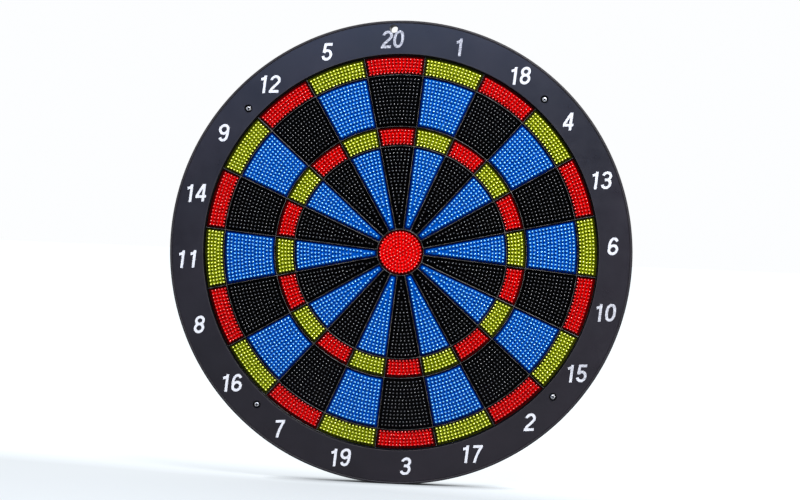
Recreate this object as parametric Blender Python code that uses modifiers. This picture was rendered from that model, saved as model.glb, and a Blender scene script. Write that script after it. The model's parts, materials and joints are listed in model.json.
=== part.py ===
"""Soft-tip dartboard, 406 mm across and 24 mm deep, as an assembly of its moulded parts.

The board is laid out flat on its back: x to the right, y up towards the 20, z the height
above the back. One empty then stands the assembly up, so that the back lies on the plane
y = 0 of the world, the front faces -Y and the 20 is at the top (+Z).
"""
import bmesh
import bpy
from math import asin, cos, pi, radians, sin
from mathutils import Matrix

# Numbers clockwise from the top, as seen from the front
NUMBERS = (20, 1, 18, 4, 13, 6, 10, 15, 2, 17, 3, 19, 7, 16, 8, 11, 14, 9, 12, 5)
SECTOR = 2 * pi / len(NUMBERS)

# Radii, in metres; a line is the middle of the wall between two beds
BOARD_RADIUS = 0.2032
RING_INNER_RADIUS = 0.1738
DOUBLE_LINE_RADIUS = 0.1557
TREBLE_OUTER_LINE_RADIUS = 0.1106
TREBLE_INNER_LINE_RADIUS = 0.0934
BULL_LINE_RADIUS = 0.0204

# Heights above the back, in metres
BOARD_DEPTH = 0.024
FACE_HEIGHT = 0.0236
NIB_TIP_HEIGHT = 0.0226
WALL_TOP_HEIGHT = 0.0212
BED_FLOOR_HEIGHT = 0.0202
BED_BACK_HEIGHT = 0.0172
SHEET_HEIGHT = 0.0116
COVER_HEIGHT = 0.0063
COVER_PANEL_HEIGHT = 0.0038

# Plastic thicknesses, the play between neighbours, and how far joined shapes overlap
GAP = 0.0003
SPIDER_WALL = 0.001
SHELL = 0.0025
RIB = 0.002
NIB_BORDER = 0.0014
OVERLAP = 0.001

# Rolled edge of the number ring: a low bead, then a chamfered corner
BEAD_INNER_RADIUS = BOARD_RADIUS - 0.0022
BEAD_OUTER_RADIUS = BOARD_RADIUS - 0.0013
EDGE_CHAMFER = 0.0014
RING_SKIRT_HEIGHT = 0.0006

# Spider: its rim, and the flange that the number ring clamps
RIM_OUTER_RADIUS = RING_INNER_RADIUS - GAP
RIM_INNER_RADIUS = RIM_OUTER_RADIUS - SPIDER_WALL
RIM_STEP = 0.0002
RIM_TOP_HEIGHT = WALL_TOP_HEIGHT + RIM_STEP
FLANGE_OUTER_RADIUS = 0.1776
FLANGE_TOP_HEIGHT = BED_BACK_HEIGHT - GAP
FLANGE_BOTTOM_HEIGHT = 0.0149

# Tie bars, which join the two beds of one colour behind the bed between them
BAR_BOTTOM_HEIGHT = SHEET_HEIGHT + GAP
BAR_TOP_HEIGHT = BAR_BOTTOM_HEIGHT + 0.002
BAR_WIDTH = 0.005
BAR_OFFSET = 0.006
BAR_REACH = 0.008
WALL_BOTTOM_HEIGHT = BAR_TOP_HEIGHT + GAP

# Screws, their bosses and their holes
SCREW_RADIUS = 0.0015
SCREW_HEAD_RADIUS = 0.003
SCREW_HEAD_TOP_RADIUS = 0.0024
SCREW_HEAD_HEIGHT = 0.0017
RECESS_LENGTH = 0.0034
RECESS_WIDTH = 0.0009
RECESS_DEPTH = 0.0009
BOSS_RADIUS = 0.0055
SPIDER_BOSS_RADIUS = 0.0035
HEAD_HOLE_RADIUS = 0.0034
CLEARANCE_RADIUS = 0.0019
PILOT_RADIUS = SCREW_RADIUS + GAP
FRONT_SCREW_CIRCLE = 0.184
FRONT_SEAT_HEIGHT = 0.0206
BOSS_JOINT_HEIGHT = 0.0098
REAR_SCREW_CIRCLE = TREBLE_OUTER_LINE_RADIUS
REAR_SEAT_HEIGHT = 0.0025
SPIDER_PILOT_TOP_HEIGHT = FLANGE_TOP_HEIGHT - 0.001
FRONT_SCREW_LENGTH = FRONT_SEAT_HEIGHT - REAR_SEAT_HEIGHT - OVERLAP
REAR_SCREW_LENGTH = SPIDER_PILOT_TOP_HEIGHT - REAR_SEAT_HEIGHT - OVERLAP

# Hanging hole at the top of the number ring, with the tube and the pad around it
HANGING_HOLE_RADIUS = 0.0035
HANGING_HOLE_CIRCLE = 0.196
HANGING_TUBE_RADIUS = 0.0056
HANGING_PAD_RADIUS = 0.0043

# Backing sheet and rear cover
SHEET_RADIUS = 0.1715
SHEET_HOLE_RADIUS = 0.0043
COVER_RADIUS = BOARD_RADIUS - SHELL - GAP
COVER_RIM_INNER_RADIUS = COVER_RADIUS - 0.0028
COVER_HUB_RADIUS = 0.03
OUTER_RIB_RADIUS = 0.16
RADIAL_RIBS = 8

# Flat-sided circles: sides in one sector at the rim and inside it, and on screws and holes
RIM_SIDES = 4
INNER_SIDES = 2
ROD_SIDES = 12
HANGING_HOLE_SIDES = 16

FRONT_SCREW_ANGLES = [radians(45 + 90 * k) for k in range(4)]
REAR_SCREW_ANGLES = [SECTOR / 2 + radians(90 * k) for k in range(4)]


def clear_scene():
    """Remove whatever the scene holds."""
    for thing in list(bpy.data.objects):
        bpy.data.objects.remove(thing, do_unlink=True)


def make_collection(name):
    collection = bpy.data.collections.new(name)
    bpy.context.scene.collection.children.link(collection)
    return collection


def make_material(name, colour, roughness, metallic=0.0):
    """A plain Principled BSDF finish."""
    material = bpy.data.materials.new(name)
    material.use_nodes = True
    shader = material.node_tree.nodes["Principled BSDF"]
    shader.inputs["Base Color"].default_value = (*colour, 1.0)
    shader.inputs["Roughness"].default_value = roughness
    shader.inputs["Metallic"].default_value = metallic
    return material


# ---------------------------------------------------------------- outlines


def polar(radius, angle):
    """The point at a radius and an angle, clockwise from the 20."""
    return (radius * sin(angle), radius * cos(angle))


def circle(radius, sides, centre=(0.0, 0.0)):
    """The corners of a flat-sided circle."""
    corners = [polar(radius, 2 * pi * k / sides) for k in range(sides)]
    return [(centre[0] + x, centre[1] + y) for x, y in corners]


def flat_sided_radius(radius, angle, step):
    """Radius at one angle of the flat-sided circle that has a corner every step."""
    return radius * cos(step / 2) / cos(angle % step - step / 2)


def arc(radius, inset, sides):
    """One sector's stretch of a flat-sided circle, its ends inset from the sector's edges."""
    step = SECTOR / sides
    end = SECTOR / 2 - asin(inset / radius)
    corners = [step * k for k in range(1 - sides // 2, sides // 2)]
    return [polar(flat_sided_radius(radius, a, step), a) for a in [-end, *corners, end]]


def bed_outline(inner_line, outer_line, inset, outer_sides):
    """Outline of a bed or its hole, drawn in from the lines around it by the inset."""
    low = arc(inner_line + inset, inset, INNER_SIDES)
    high = arc(outer_line - inset, inset, outer_sides)
    return high + low[::-1]


# Inner line, outer line and outer sides of each kind of bed; a double's outer line is the
# middle of the spider's rim
RIM_LINE_RADIUS = (RIM_OUTER_RADIUS + RIM_INNER_RADIUS) / 2
DOUBLE_BED = (DOUBLE_LINE_RADIUS, RIM_LINE_RADIUS, RIM_SIDES)
OUTER_SINGLE_BED = (TREBLE_OUTER_LINE_RADIUS, DOUBLE_LINE_RADIUS, INNER_SIDES)
TREBLE_BED = (TREBLE_INNER_LINE_RADIUS, TREBLE_OUTER_LINE_RADIUS, INNER_SIDES)
INNER_SINGLE_BED = (BULL_LINE_RADIUS, TREBLE_INNER_LINE_RADIUS, INNER_SIDES)


# ---------------------------------------------------------------- shapes


def place(data, name):
    """A new object in the upright assembly."""
    thing = bpy.data.objects.new(name, data)
    bpy.context.scene.collection.objects.link(thing)
    thing.parent = upright
    return thing


def move_to(thing, collection):
    for owner in list(thing.users_collection):
        owner.objects.unlink(thing)
    collection.objects.link(thing)


def evaluated_mesh(thing):
    """The object's shape with its modifiers applied."""
    bpy.context.view_layer.update()
    depsgraph = bpy.context.evaluated_depsgraph_get()
    return bpy.data.meshes.new_from_object(thing.evaluated_get(depsgraph))


def mesh_object_from_curve(curve_object):
    """Replace a curve object by a closed mesh object of the same shape."""
    mesh = evaluated_mesh(curve_object)
    body = bmesh.new()
    body.from_mesh(mesh)
    bmesh.ops.remove_doubles(body, verts=body.verts, dist=0.00001)
    bmesh.ops.recalc_face_normals(body, faces=body.faces)
    body.to_mesh(mesh)
    body.free()
    name = curve_object.name
    where = curve_object.matrix_world.copy()
    bpy.data.objects.remove(curve_object, do_unlink=True)
    solid = place(mesh, name)
    solid.matrix_world = where
    return solid


def make_prism(name, outlines, thickness, location, rotation=(0.0, 0.0, 0.0)):
    """A flat shape of outlines, the first the outside and the rest holes, with its middle
    plane at the location."""
    curve = bpy.data.curves.new(name, "CURVE")
    curve.dimensions = "2D"
    curve.fill_mode = "BOTH"
    curve.extrude = thickness / 2
    for outline in outlines:
        spline = curve.splines.new("POLY")
        spline.points.add(len(outline) - 1)
        for point, (x, y) in zip(spline.points, outline):
            point.co = (x, y, 0.0, 1.0)
        spline.use_cyclic_u = True
    prism = place(curve, name)
    prism.location = location
    prism.rotation_euler = rotation
    return mesh_object_from_curve(prism)


def make_slab(name, outlines, low, high):
    """A flat shape between two heights."""
    return make_prism(name, outlines, high - low, (0.0, 0.0, (low + high) / 2))


def object_from(body, name):
    mesh = bpy.data.meshes.new(name)
    body.to_mesh(mesh)
    body.free()
    return place(mesh, name)


def make_block(name, x_range, y_range, z_range, angle=0.0):
    """A box given by its ranges, then turned clockwise about the board's axis."""
    ranges = (x_range, y_range, z_range)
    size = [high - low for low, high in ranges]
    middle = [(high + low) / 2 for low, high in ranges]
    body = bmesh.new()
    bmesh.ops.create_cube(body, size=1.0)
    bmesh.ops.scale(body, vec=size, verts=body.verts)
    bmesh.ops.translate(body, vec=middle, verts=body.verts)
    bmesh.ops.rotate(body, matrix=Matrix.Rotation(-angle, 3, "Z"), verts=body.verts)
    return object_from(body, name)


def make_rod(name, radius, low, high, centre=(0.0, 0.0), top_radius=None, sides=ROD_SIDES):
    """A rod along z, or a cone where a top radius is given."""
    body = bmesh.new()
    bmesh.ops.create_cone(
        body, cap_ends=True, segments=sides, radius1=radius,
        radius2=top_radius or radius, depth=high - low,
    )
    bmesh.ops.translate(body, vec=(*centre, (low + high) / 2), verts=body.verts)
    return object_from(body, name)


def make_turned(name, profile, closed):
    """Turn a profile of (radius, height) points, which runs down its outer side, about z."""
    body = bmesh.new()
    points = [body.verts.new((radius, 0.0, height)) for radius, height in profile]
    for first, second in zip(points, points[1:]):
        body.edges.new((first, second))
    if closed:
        body.edges.new((points[-1], points[0]))
    turned = object_from(body, name)
    screw = turned.modifiers.new("turn", "SCREW")
    screw.axis = "Z"
    screw.steps = RIM_SIDES * len(NUMBERS)
    screw.render_steps = screw.steps
    screw.use_merge_vertices = True
    screw.merge_threshold = 0.00001
    return turned


def combine(target, tool, operation):
    """Join a tool to the target or cut it out, and put the tool away as a guide."""
    modifier = target.modifiers.new(f"{operation.lower()}_{tool.name}", "BOOLEAN")
    modifier.operation = operation
    modifier.solver = "EXACT"
    modifier.object = tool
    tool.hide_render = True
    tool.display_type = "WIRE"
    move_to(tool, cutters)


def join(target, *tools):
    for tool in tools:
        combine(target, tool, "UNION")


def cut(target, *tools):
    for tool in tools:
        combine(target, tool, "DIFFERENCE")


def finish(thing, material):
    """Give a finished sub-part its material and its shading, and list it with the board."""
    thing.data.materials.clear()
    thing.data.materials.append(material)
    thing.data.shade_smooth()
    thing.data.set_sharp_from_angle(angle=radians(30))
    move_to(thing, board)


def take_shape(pattern):
    """The pattern's finished shape and its place; the pattern and its tools are removed."""
    mesh = evaluated_mesh(pattern)
    where = pattern.matrix_basis.copy()
    tools = [modifier.object for modifier in pattern.modifiers]
    for thing in [pattern, *tools]:
        bpy.data.objects.remove(thing, do_unlink=True)
    return mesh, where


# ---------------------------------------------------------------- beds


def raise_field(plate):
    """Inset a bed's plate and draw the field of nibs up from it to the nibs' tips."""
    body = bmesh.new()
    body.from_mesh(plate.data)
    top = [face for face in body.faces if face.normal.z > 0.5]
    bmesh.ops.inset_region(body, faces=top, thickness=NIB_BORDER, use_even_offset=True)
    raised = bmesh.ops.extrude_face_region(body, geom=top)
    corners = [part for part in raised["geom"] if isinstance(part, bmesh.types.BMVert)]
    bmesh.ops.delete(body, geom=top, context="FACES")
    bmesh.ops.translate(body, vec=(0.0, 0.0, NIB_TIP_HEIGHT - BED_FLOOR_HEIGHT), verts=corners)
    body.to_mesh(plate.data)
    body.free()


def make_bed(name, outline):
    plate = make_slab(name, [outline], BED_BACK_HEIGHT, BED_FLOOR_HEIGHT)
    raise_field(plate)
    return plate


def make_sector_bed(name, inner_line, outer_line, outer_sides):
    return make_bed(
        name, bed_outline(inner_line, outer_line, SPIDER_WALL / 2 + GAP, outer_sides)
    )


def make_tie_bar(name, inner, outer, offset):
    """A bar on the backing sheet with a foot at each end up into its bed, from the side."""
    foot_top = BED_BACK_HEIGHT + OVERLAP
    outline = [
        (inner, BAR_BOTTOM_HEIGHT),
        (outer, BAR_BOTTOM_HEIGHT),
        (outer, foot_top),
        (outer - BAR_WIDTH, foot_top),
        (outer - BAR_WIDTH, BAR_TOP_HEIGHT),
        (inner + BAR_WIDTH, BAR_TOP_HEIGHT),
        (inner + BAR_WIDTH, foot_top),
        (inner, foot_top),
    ]
    return make_prism(name, [outline], BAR_WIDTH, (offset, 0.0, 0.0), (pi / 2, 0.0, pi / 2))


def make_bed_pairs(kind, outer_bed, inner_bed, bar, finishes):
    """One pair of beds of the same colour for each number, in one shape turned to its place."""
    pair = make_sector_bed(f"{kind}_outer", *outer_bed)
    join(pair, bar, make_sector_bed(f"{kind}_inner", *inner_bed))
    shape, where = take_shape(pair)
    for k, number in enumerate(NUMBERS):
        beds = place(shape.copy(), f"{kind}_{number}")
        beds.matrix_basis = Matrix.Rotation(-SECTOR * k, 4, "Z") @ where
        finish(beds, finishes[k % 2])


def make_bull():
    """The round bed in the middle, with a foot down to the backing sheet."""
    radius = BULL_LINE_RADIUS - SPIDER_WALL / 2 - GAP
    bull = make_bed("bull_bed", circle(radius, INNER_SIDES * len(NUMBERS)))
    join(bull, make_rod("bull_foot", BOSS_RADIUS, BAR_BOTTOM_HEIGHT, BED_BACK_HEIGHT + OVERLAP))
    finish(bull, bed_red)


# ---------------------------------------------------------------- spider and number ring


def spider_outlines():
    """The spider's outside and a hole for each of the 81 beds."""
    half = SPIDER_WALL / 2
    outlines = [
        circle(RIM_LINE_RADIUS, RIM_SIDES * len(NUMBERS)),
        circle(BULL_LINE_RADIUS - half, INNER_SIDES * len(NUMBERS)),
    ]
    for inner_line, outer_line, sides in (
        DOUBLE_BED, OUTER_SINGLE_BED, TREBLE_BED, INNER_SINGLE_BED
    ):
        hole = bed_outline(inner_line, outer_line, half, sides)
        for k in range(len(NUMBERS)):
            turn = SECTOR * k
            outlines.append([
                (x * cos(turn) + y * sin(turn), y * cos(turn) - x * sin(turn)) for x, y in hole
            ])
    return outlines


def make_spider():
    """The walls between the beds, with the rim, the clamped flange and four screw bosses."""
    spider = make_slab("spider", spider_outlines(), WALL_BOTTOM_HEIGHT, WALL_TOP_HEIGHT)
    join(spider, make_turned("spider_rim", [
        (RIM_OUTER_RADIUS, RIM_TOP_HEIGHT),
        (RIM_OUTER_RADIUS, FLANGE_TOP_HEIGHT),
        (FLANGE_OUTER_RADIUS, FLANGE_TOP_HEIGHT),
        (FLANGE_OUTER_RADIUS, FLANGE_BOTTOM_HEIGHT),
        (RIM_OUTER_RADIUS, FLANGE_BOTTOM_HEIGHT),
        (RIM_OUTER_RADIUS, COVER_HEIGHT + GAP),
        (RIM_INNER_RADIUS + RIM_STEP, COVER_HEIGHT + GAP),
        (RIM_INNER_RADIUS + RIM_STEP, RIM_TOP_HEIGHT),
    ], closed=True))
    centres = [polar(REAR_SCREW_CIRCLE, angle) for angle in REAR_SCREW_ANGLES]
    for k, centre in enumerate(centres):
        join(spider, make_rod(
            f"spider_boss_{k + 1}", SPIDER_BOSS_RADIUS, COVER_HEIGHT + GAP, FLANGE_TOP_HEIGHT, centre
        ))
        cut(spider, make_rod(
            f"spider_pilot_{k + 1}", PILOT_RADIUS, COVER_HEIGHT, SPIDER_PILOT_TOP_HEIGHT, centre
        ))
    finish(spider, spider_black)


def make_number_ring():
    """The wide front ring: a hollow moulding with screw bosses and the hanging tube."""
    shell_inside = BOARD_RADIUS - SHELL
    panel_back = FACE_HEIGHT - SHELL
    inner_wall = RING_INNER_RADIUS + RIB
    ring = make_turned("number_ring", [
        (BEAD_OUTER_RADIUS, BOARD_DEPTH),
        (BOARD_RADIUS, BOARD_DEPTH - EDGE_CHAMFER),
        (BOARD_RADIUS, RING_SKIRT_HEIGHT),
        (shell_inside, RING_SKIRT_HEIGHT),
        (shell_inside, panel_back),
        (inner_wall, panel_back),
        (inner_wall, BED_BACK_HEIGHT),
        (RING_INNER_RADIUS, BED_BACK_HEIGHT),
        (RING_INNER_RADIUS, FACE_HEIGHT),
        (BEAD_INNER_RADIUS, FACE_HEIGHT),
        (BEAD_INNER_RADIUS + GAP, BOARD_DEPTH),
    ], closed=True)
    for k, angle in enumerate(FRONT_SCREW_ANGLES):
        centre = polar(FRONT_SCREW_CIRCLE, angle)
        join(ring, make_rod(
            f"ring_boss_{k + 1}", BOSS_RADIUS, BOSS_JOINT_HEIGHT, panel_back + OVERLAP, centre
        ))
        cut(
            ring,
            make_rod(
                f"ring_clearance_{k + 1}", CLEARANCE_RADIUS, BOSS_JOINT_HEIGHT - OVERLAP,
                FRONT_SEAT_HEIGHT + OVERLAP, centre,
            ),
            make_rod(
                f"ring_head_hole_{k + 1}", HEAD_HOLE_RADIUS, FRONT_SEAT_HEIGHT,
                BOARD_DEPTH + OVERLAP, centre,
            ),
        )
    hanging_centre = polar(HANGING_HOLE_CIRCLE, 0.0)
    join(ring, make_rod(
        "hanging_tube", HANGING_TUBE_RADIUS, COVER_HEIGHT + GAP, panel_back + OVERLAP,
        hanging_centre, sides=HANGING_HOLE_SIDES,
    ))
    cut(ring, make_rod(
        "hanging_hole_front", HANGING_HOLE_RADIUS, COVER_HEIGHT, BOARD_DEPTH + OVERLAP,
        hanging_centre, sides=HANGING_HOLE_SIDES,
    ))
    finish(ring, ring_charcoal)


# ---------------------------------------------------------------- back


def make_backing_sheet():
    """The foam sheet that the beds rest on, with holes for the spider's bosses."""
    outlines = [circle(SHEET_RADIUS, RIM_SIDES * len(NUMBERS))]
    for angle in REAR_SCREW_ANGLES:
        outlines.append(circle(SHEET_HOLE_RADIUS, ROD_SIDES, polar(REAR_SCREW_CIRCLE, angle)))
    sheet = make_slab("backing_sheet", outlines, COVER_HEIGHT + GAP, SHEET_HEIGHT)
    finish(sheet, sheet_foam)


def rib_profile(radius):
    """The steps of one round rib on the cover's back, met from outside."""
    return [
        (radius + RIB / 2, COVER_PANEL_HEIGHT),
        (radius + RIB / 2, 0.0),
        (radius - RIB / 2, 0.0),
        (radius - RIB / 2, COVER_PANEL_HEIGHT),
    ]


def make_rear_cover():
    """The ribbed disc that closes the back, lies on the wall and takes both sets of screws."""
    cover = make_turned("rear_cover", [
        (0.0, COVER_HEIGHT),
        (COVER_RADIUS, COVER_HEIGHT),
        (COVER_RADIUS, 0.0),
        (COVER_RIM_INNER_RADIUS, 0.0),
        (COVER_RIM_INNER_RADIUS, COVER_PANEL_HEIGHT),
        *rib_profile(OUTER_RIB_RADIUS),
        *rib_profile(REAR_SCREW_CIRCLE),
        (COVER_HUB_RADIUS, COVER_PANEL_HEIGHT),
        (COVER_HUB_RADIUS, 0.0),
        (0.0, 0.0),
    ], closed=False)
    for k in range(RADIAL_RIBS):
        join(cover, make_block(
            f"radial_rib_{k + 1}", (-RIB / 2, RIB / 2),
            (COVER_HUB_RADIUS - OVERLAP, OUTER_RIB_RADIUS), (0.0, COVER_PANEL_HEIGHT + OVERLAP),
            2 * pi * k / RADIAL_RIBS,
        ))
    for k, angle in enumerate(FRONT_SCREW_ANGLES):
        centre = polar(FRONT_SCREW_CIRCLE, angle)
        join(cover, make_rod(
            f"cover_front_boss_{k + 1}", BOSS_RADIUS, 0.0, BOSS_JOINT_HEIGHT - GAP, centre
        ))
        cut(cover, make_rod(
            f"cover_pilot_{k + 1}", PILOT_RADIUS, REAR_SEAT_HEIGHT, BOSS_JOINT_HEIGHT, centre
        ))
    for k, angle in enumerate(REAR_SCREW_ANGLES):
        centre = polar(REAR_SCREW_CIRCLE, angle)
        join(cover, make_rod(
            f"cover_rear_boss_{k + 1}", BOSS_RADIUS, 0.0, COVER_PANEL_HEIGHT + OVERLAP, centre
        ))
        cut(
            cover,
            make_rod(f"cover_clearance_{k + 1}", CLEARANCE_RADIUS, 0.0, COVER_HEIGHT + OVERLAP, centre),
            make_rod(f"cover_head_hole_{k + 1}", HEAD_HOLE_RADIUS, -OVERLAP, REAR_SEAT_HEIGHT, centre),
        )
    hanging_centre = polar(HANGING_HOLE_CIRCLE, 0.0)
    join(cover, make_rod(
        "hanging_pad", HANGING_PAD_RADIUS, 0.0, COVER_PANEL_HEIGHT + OVERLAP, hanging_centre,
        sides=HANGING_HOLE_SIDES,
    ))
    cut(cover, make_rod(
        "hanging_hole_back", HANGING_HOLE_RADIUS, -OVERLAP, COVER_HEIGHT + OVERLAP, hanging_centre,
        sides=HANGING_HOLE_SIDES,
    ))
    finish(cover, cover_black)


# ---------------------------------------------------------------- screws


def screw_pattern(kind, length):
    """A pan-head screw: its seat at z = 0, its head up, with a cross recess."""
    screw = make_rod(
        kind, SCREW_HEAD_RADIUS, 0.0, SCREW_HEAD_HEIGHT, top_radius=SCREW_HEAD_TOP_RADIUS
    )
    join(screw, make_rod(f"{kind}_shank", SCREW_RADIUS, -length, RECESS_WIDTH / 2))
    along = (-RECESS_LENGTH / 2, RECESS_LENGTH / 2)
    across = (-RECESS_WIDTH / 2, RECESS_WIDTH / 2)
    height = (SCREW_HEAD_HEIGHT - RECESS_DEPTH, SCREW_HEAD_HEIGHT + OVERLAP)
    cut(
        screw,
        make_block(f"{kind}_slot", along, across, height),
        make_block(f"{kind}_cross_slot", across, along, height),
    )
    return screw


def make_screws(kind, screw_circle, angles, seat_height, length, tilt):
    """Four screws of one kind; a tilt of half a turn points their heads backwards."""
    shape, _ = take_shape(screw_pattern(kind, length))
    for k, angle in enumerate(angles):
        screw = place(shape.copy(), f"{kind}_{k + 1}")
        screw.location = (*polar(screw_circle, angle), seat_height)
        screw.rotation_euler = (tilt, 0.0, pi / 4)
        finish(screw, screw_steel)


clear_scene()
board = make_collection("soft_tip_dartboard")
cutters = make_collection("cutters")
upright = bpy.data.objects.new("upright", None)
upright.rotation_euler.x = pi / 2
board.objects.link(upright)

ring_charcoal = make_material("ring_charcoal", (0.045, 0.046, 0.055), 0.42)
spider_black = make_material("spider_black", (0.012, 0.012, 0.014), 0.35)
bed_black = make_material("bed_black", (0.010, 0.010, 0.011), 0.38)
bed_blue = make_material("bed_blue", (0.010, 0.110, 0.520), 0.36)
bed_red = make_material("bed_red", (0.620, 0.006, 0.008), 0.36)
bed_lime = make_material("bed_lime", (0.360, 0.420, 0.012), 0.36)
cover_black = make_material("cover_black", (0.018, 0.018, 0.020), 0.55)
sheet_foam = make_material("sheet_foam", (0.060, 0.060, 0.062), 0.90)
screw_steel = make_material("screw_steel", (0.560, 0.560, 0.570), 0.28, 1.0)

make_bed_pairs(
    "single_beds", OUTER_SINGLE_BED, INNER_SINGLE_BED,
    make_tie_bar(
        "single_tie_bar", TREBLE_INNER_LINE_RADIUS - BAR_REACH,
        TREBLE_OUTER_LINE_RADIUS + BAR_REACH, BAR_OFFSET,
    ),
    (bed_black, bed_blue),
)
make_bed_pairs(
    "double_treble_beds", DOUBLE_BED, TREBLE_BED,
    make_tie_bar(
        "double_treble_tie_bar", TREBLE_OUTER_LINE_RADIUS - BAR_REACH,
        DOUBLE_LINE_RADIUS + BAR_REACH, -BAR_OFFSET,
    ),
    (bed_red, bed_lime),
)
make_bull()
make_spider()
make_number_ring()
make_backing_sheet()
make_rear_cover()
make_screws(
    "front_screw", FRONT_SCREW_CIRCLE, FRONT_SCREW_ANGLES, FRONT_SEAT_HEIGHT + GAP,
    FRONT_SCREW_LENGTH, 0.0,
)
make_screws(
    "rear_screw", REAR_SCREW_CIRCLE, REAR_SCREW_ANGLES, REAR_SEAT_HEIGHT - GAP,
    REAR_SCREW_LENGTH, pi,
)
bpy.context.view_layer.update()
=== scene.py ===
"""The looks of the soft-tip dartboard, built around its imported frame.

Every piece is modelled lying on its back: x to the right, y up towards the 20, z the height
above the board's back. stand_up then turns it by a quarter about x, so that the back lies on
the plane y = 0 of the frame, the front faces -Y and the 20 is at the top (+Z).
"""
import json
from math import asin, cos, floor, hypot, pi, radians, sin

import bmesh
import bpy
from mathutils import Matrix, Vector


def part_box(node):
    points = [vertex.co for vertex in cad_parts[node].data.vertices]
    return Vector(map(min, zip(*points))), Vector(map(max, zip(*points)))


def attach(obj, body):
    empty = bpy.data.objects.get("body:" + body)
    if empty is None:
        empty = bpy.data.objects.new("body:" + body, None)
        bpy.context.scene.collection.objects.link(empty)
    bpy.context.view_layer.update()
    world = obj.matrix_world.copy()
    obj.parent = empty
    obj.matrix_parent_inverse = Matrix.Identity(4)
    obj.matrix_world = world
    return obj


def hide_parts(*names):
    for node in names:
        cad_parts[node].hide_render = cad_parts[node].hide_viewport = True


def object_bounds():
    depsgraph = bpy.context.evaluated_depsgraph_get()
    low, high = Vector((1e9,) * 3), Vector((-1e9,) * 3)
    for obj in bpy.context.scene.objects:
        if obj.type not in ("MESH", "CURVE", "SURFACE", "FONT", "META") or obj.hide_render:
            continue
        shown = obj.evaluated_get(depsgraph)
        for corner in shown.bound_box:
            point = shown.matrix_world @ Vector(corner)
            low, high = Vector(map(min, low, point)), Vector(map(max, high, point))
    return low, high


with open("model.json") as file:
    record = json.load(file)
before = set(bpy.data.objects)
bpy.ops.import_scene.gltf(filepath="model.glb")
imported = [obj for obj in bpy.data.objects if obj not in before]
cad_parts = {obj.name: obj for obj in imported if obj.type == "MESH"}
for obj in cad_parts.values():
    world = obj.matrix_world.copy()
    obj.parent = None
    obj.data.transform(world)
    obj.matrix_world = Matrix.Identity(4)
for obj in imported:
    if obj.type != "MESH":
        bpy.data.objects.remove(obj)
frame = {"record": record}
cad_low, cad_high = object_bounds()

# Numbers clockwise from the top, as seen from the front
NUMBERS = (20, 1, 18, 4, 13, 6, 10, 15, 2, 17, 3, 19, 7, 16, 8, 11, 14, 9, 12, 5)
SECTOR = 2 * pi / len(NUMBERS)

# ---------------------------------------------------------------- sizes from the frame


def top_of(node):
    """How far a node reaches up from the board's centre."""
    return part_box(node)[1].z


def front_of(node):
    """How far a node reaches forward from the board's back."""
    return -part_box(node)[0].y


def centre_of(node):
    """Where a node's middle is on the board lying on its back, as (x, y)."""
    low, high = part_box(node)
    return ((low.x + high.x) / 2, (low.z + high.z) / 2)


BOARD_RADIUS = (cad_high.x - cad_low.x) / 2
BOARD_DEPTH = front_of("number_ring")
FACE_HEIGHT = BOARD_DEPTH - 0.0004
SKIRT_HEIGHT = -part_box("number_ring")[1].y

# From the middle of the spider's wall to the bed beside it, and half the wall itself
BED_INSET = 0.0008
HALF_WALL = 0.0005
GAP = BED_INSET - HALF_WALL

# A line is the middle of the wall between two beds
BULL_LINE = top_of("bull_bed") + BED_INSET
DOUBLE_LINE = top_of("single_beds_20") + BED_INSET
RIM_LINE = top_of("double_treble_beds_20") + BED_INSET
TREBLE_OUTER_LINE = hypot(*centre_of("rear_screw_1"))
TREBLE_INNER_LINE = TREBLE_OUTER_LINE - 0.0172
RING_INNER_RADIUS = RIM_LINE + HALF_WALL + GAP
FLANGE_RADIUS = top_of("spider")

NIB_TIP_HEIGHT = front_of("bull_bed")
BED_FLOOR_HEIGHT = NIB_TIP_HEIGHT - 0.0024
BED_BACK_HEIGHT = BED_FLOOR_HEIGHT - 0.003
WALL_TOP_HEIGHT = front_of("spider") - 0.0002
WALL_BOTTOM_HEIGHT = WALL_TOP_HEIGHT - 0.007
RIM_TOP_HEIGHT = front_of("spider")
SHEET_LOW, SHEET_HIGH = -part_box("backing_sheet")[1].y, front_of("backing_sheet")
SHEET_RADIUS = top_of("backing_sheet")
COVER_RADIUS = top_of("rear_cover")

FRONT_SCREWS = [centre_of(f"front_screw_{k}") for k in range(1, 5)]
REAR_SCREWS = [centre_of(f"rear_screw_{k}") for k in range(1, 5)]
hole_low, hole_high = frame["record"]["physics"]["openings"][0]["box_m"]
HANGING_HOLE = ((hole_low[0] + hole_high[0]) / 2, (hole_low[2] + hole_high[2]) / 2)

# ---------------------------------------------------------------- small sizes

# The ring's panel, its holes and bosses, and the rounding of mouldings' edges
PANEL = 0.0025
HANGING_HOLE_RADIUS = 0.0035
HANGING_TUBE_RADIUS = 0.0056
HEAD_HOLE_RADIUS = 0.0034
CLEARANCE_RADIUS = 0.0019
PILOT_RADIUS = 0.0018
BOSS_RADIUS = 0.0055
SPIDER_BOSS_RADIUS = 0.0035
SCREW_HEAD_HEIGHT = 0.0017
EDGE = 0.0003

# How far a cutter or a joined part reaches past the face that it meets
OVERCUT = 0.001

# How finely curves are drawn: per sector, round the board, the hanging hole and a screw head
ARC_STEPS = 12
TURN_STEPS = ARC_STEPS * len(NUMBERS)
HOLE_STEPS = 48
HEAD_STEPS = 40

# How far a bed's plate steps down to the shoulder along its walls, and how wide the slope is
SHOULDER_DROP = 0.0008
SHOULDER_SLOPE = 0.0003

# Nibs: a tapered post with a domed tip, as radii and shares of its height above the plate
NIB_SIDES = 8
NIB_STEPS = ((0.00108, -0.40), (0.00100, 0.30), (0.00084, 0.78), (0.00052, 0.95))
NIB_PITCH = 0.0030

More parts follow.
